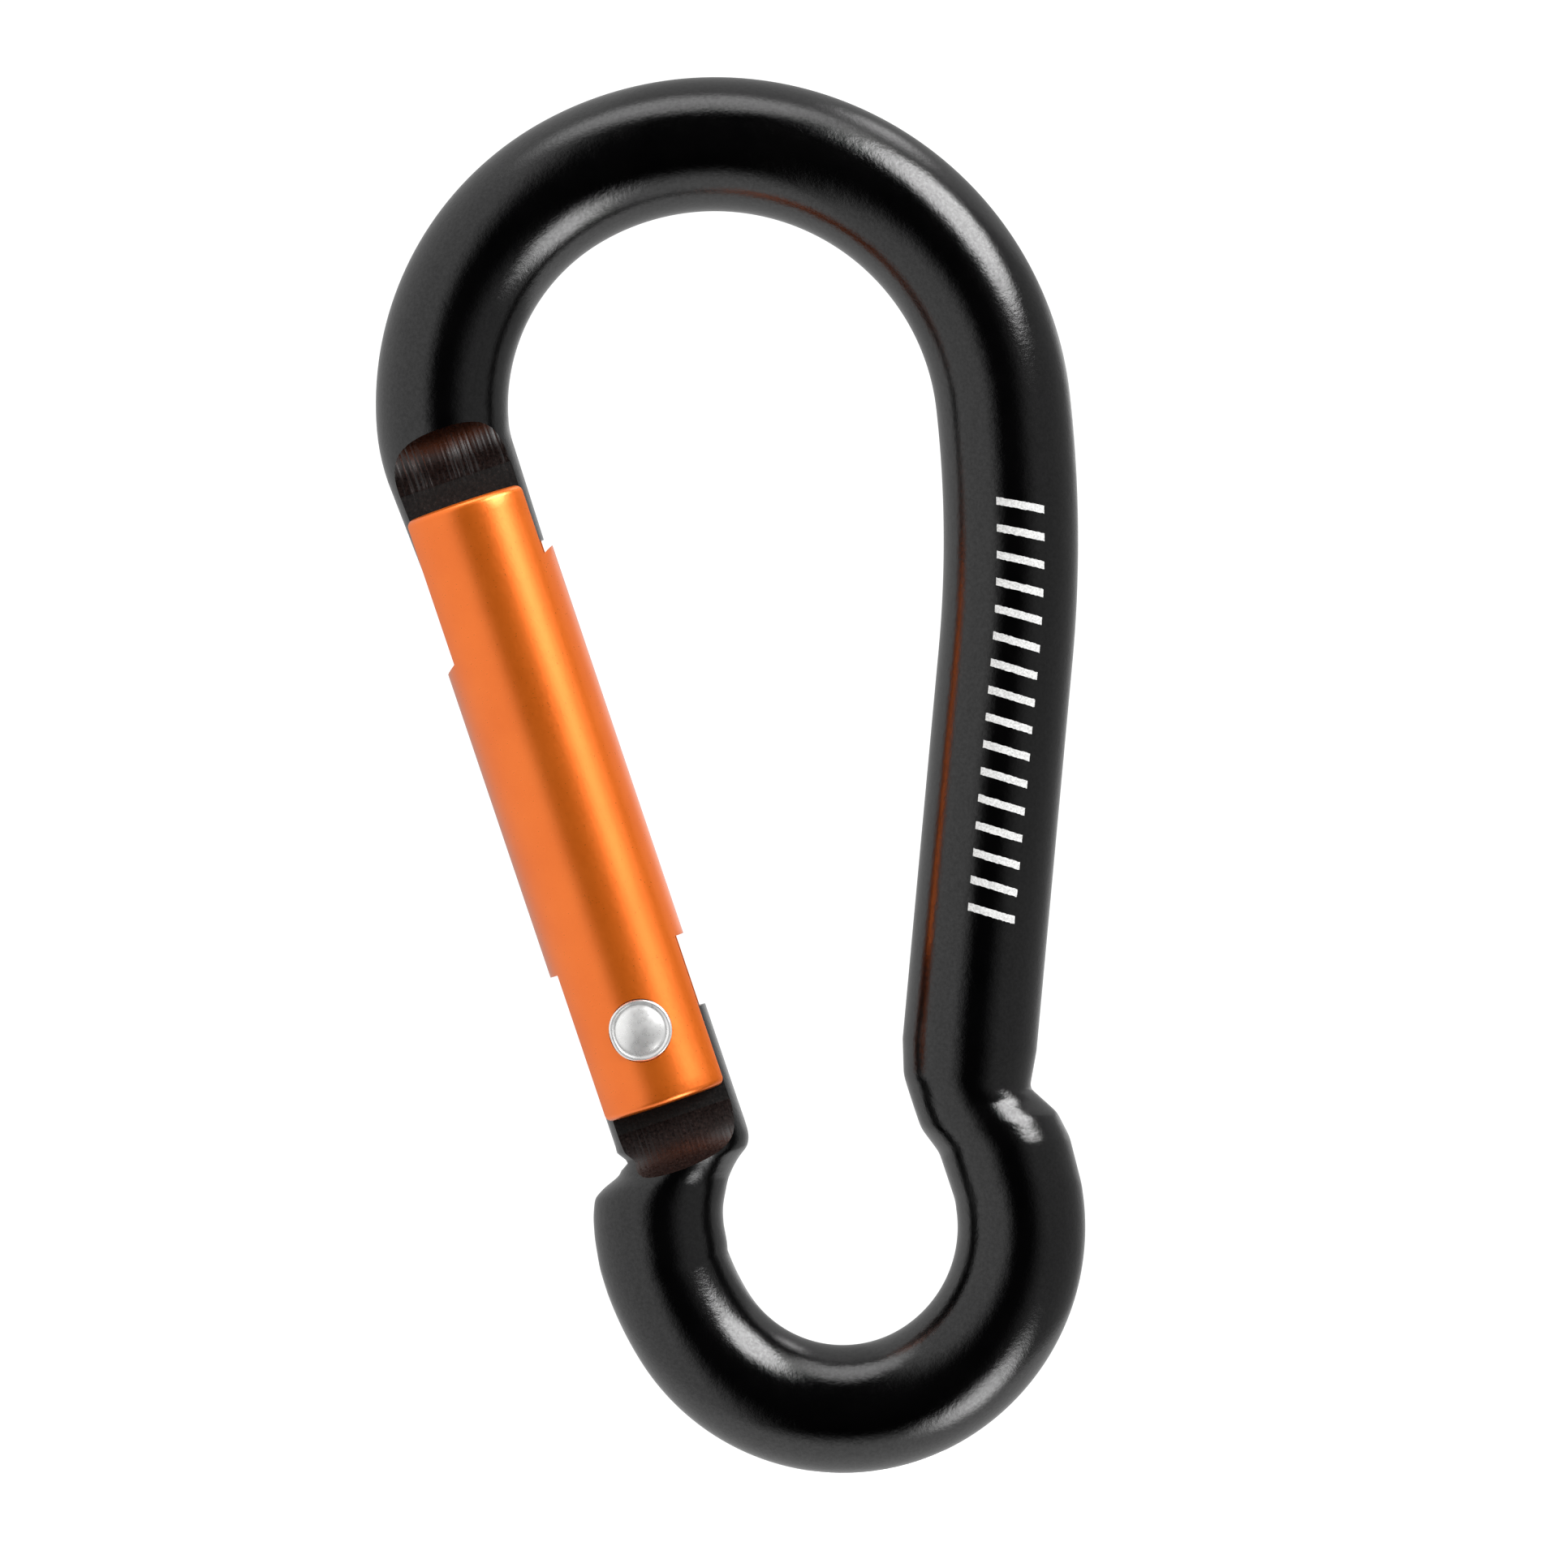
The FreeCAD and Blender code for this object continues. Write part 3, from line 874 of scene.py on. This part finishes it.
class Probe:
    """World light placed by direction: how far from the camera's side, and which way round from it."""

    def __init__(self):
        self.world = bpy.data.worlds.new("studio")
        bpy.context.scene.world = self.world
        self.world.use_nodes = True
        self.tree = self.world.node_tree
        self.tree.nodes.clear()
        self.build_plane()

    def node(self, kind, **settings):
        made = self.tree.nodes.new(kind)
        for key, value in settings.items():
            setattr(made, key, value)
        return made

    def math(self, operation, first, second=None):
        made = self.node("ShaderNodeMath", operation=operation)
        for socket, value in zip(made.inputs, (first, second)):
            if isinstance(value, (int, float)):
                socket.default_value = value
            elif value is not None:
                self.tree.links.new(value, socket)
        return made.outputs[0]

    def length(self, first, second):
        squares = [self.math("MULTIPLY", value, value) for value in (first, second)]
        return self.math("SQRT", self.math("ADD", *squares))

    def build_plane(self):
        """across and up: 0 towards the camera, 1 straight behind the object."""
        place = self.node("ShaderNodeTexCoord")
        split = self.node("ShaderNodeSeparateXYZ")
        self.tree.links.new(place.outputs["Generated"], split.inputs[0])
        x, y, z = split.outputs
        cosine, sine = math.cos(ROLL), math.sin(ROLL)
        right = self.math("SUBTRACT", self.math("MULTIPLY", x, cosine), self.math("MULTIPLY", z, sine))
        high = self.math("ADD", self.math("MULTIPLY", x, sine), self.math("MULTIPLY", z, cosine))
        angle = self.math("DIVIDE", self.math("ARCCOSINE", self.math("MULTIPLY", y, -1.0)), math.pi)
        flat = self.math("MAXIMUM", self.length(right, high), 0.0001)
        self.across = self.math("MULTIPLY", self.math("DIVIDE", right, flat), angle)
        self.up = self.math("MULTIPLY", self.math("DIVIDE", high, flat), angle)
        self.angle = angle

    def fade(self, value, start, end):
        """0 before start, 1 after end, smooth between. start may be the larger."""
        made = self.node("ShaderNodeMapRange", interpolation_type="SMOOTHSTEP")
        made.inputs["From Min"].default_value = start
        made.inputs["From Max"].default_value = end
        self.tree.links.new(value, made.inputs["Value"])
        return made.outputs[0]

    def disc(self, across, up, inner, outer, strength, squeeze):
        """A round or oval lamp, full to inner and gone by outer."""
        dx = self.math("MULTIPLY", self.math("SUBTRACT", self.across, across), squeeze)
        dy = self.math("SUBTRACT", self.up, up)
        return self.math("MULTIPLY", self.fade(self.length(dx, dy), outer, inner), strength)

    def finish(self, light):
        """The light for the object, and plain white paper where the camera sees past it."""
        glow = self.node("ShaderNodeBackground")
        self.tree.links.new(light, glow.inputs["Color"])
        paper = self.node("ShaderNodeBackground")
        paper.inputs["Color"].default_value = (1, 1, 1, 1)
        paper.inputs["Strength"].default_value = PAPER_STRENGTH
        path = self.node("ShaderNodeLightPath")
        mix = self.node("ShaderNodeMixShader")
        self.tree.links.new(path.outputs["Is Camera Ray"], mix.inputs[0])
        self.tree.links.new(glow.outputs[0], mix.inputs[1])
        self.tree.links.new(paper.outputs[0], mix.inputs[2])
        output = self.node("ShaderNodeOutputWorld")
        self.tree.links.new(mix.outputs[0], output.inputs[0])


def make_light():
    probe = Probe()
    m = probe.math
    # broad panels on the left, below and above, each with a soft edge towards the dark camera side
    left = probe.fade(probe.across, -0.06, -0.20)
    below = m("MULTIPLY", probe.fade(probe.up, -0.24, -0.38), 1.2)
    above = m("MULTIPLY", probe.fade(probe.up, 0.28, 0.42), 0.8)
    panel = m("MAXIMUM", m("MAXIMUM", left, below), above)
    falloff = m("SUBTRACT", 1.12, m("MULTIPLY", probe.fade(probe.angle, 0.42, 0.98), 0.66))
    light = m("MULTIPLY", panel, falloff)
    # dim room on the right, with a pale wall behind it
    right = m("MULTIPLY", probe.fade(probe.across, 0.08, 0.28), 0.42)
    wall = m("MULTIPLY", probe.fade(probe.across, 0.66, 0.88), 0.2)
    light = m("MAXIMUM", light, m("ADD", right, wall))
    for lamp in LAMPS:
        light = m("ADD", light, probe.disc(*lamp))
    probe.finish(light)


def make_floor(box):
    """A pale sheet well below the hanging object."""
    reach = 0.35
    drop = box[0].z - 0.03
    steps = 24
    places = [-reach + 2 * reach * step / steps for step in range(steps + 1)]
    vertices = [(x, y, drop) for y in places for x in places]
    faces = []
    for row in range(steps):
        for column in range(steps):
            a = row * (steps + 1) + column
            faces.append((a, a + 1, a + steps + 2, a + steps + 1))
    floor = new_object("floor", [Vector(v) / MM for v in vertices], faces)
    material = bpy.data.materials.new("pale_floor")
    tree, shader = nodes_of(material)
    grain = noise(tree, 40, 3)
    colour_by(tree, shader, grain, ((0.3, (0.93, 0.93, 0.93)), (0.7, (0.96, 0.96, 0.96))))
    shader.inputs["Roughness"].default_value = 0.9
    floor.data.materials.append(material)
    floor.visible_glossy = False
    floor.visible_diffuse = False
    return floor


def make_camera():
    """A long lens square on to the rod's plane, rolled as the object hangs."""
    data = bpy.data.cameras.new("camera")
    data.sensor_width = 36.0
    data.lens = 180.0
    camera = bpy.data.objects.new("camera", data)
    bpy.context.scene.collection.objects.link(camera)
    distance = VIEW_WIDTH * data.lens / data.sensor_width
    right = Vector((math.cos(ROLL), 0, -math.sin(ROLL)))
    up = Vector((math.sin(ROLL), 0, math.cos(ROLL)))
    back = Vector((0, -1, 0))
    turn = Matrix((right, up, back)).transposed().to_4x4()
    camera.matrix_world = Matrix.Translation(LOOK_AT + back * distance) @ turn
    data.clip_start = 0.01
    data.clip_end = 10.0
    bpy.context.scene.camera = camera


make_light()
make_floor(cad_box)
make_camera()
bpy.context.scene.view_settings.view_transform = "Standard"
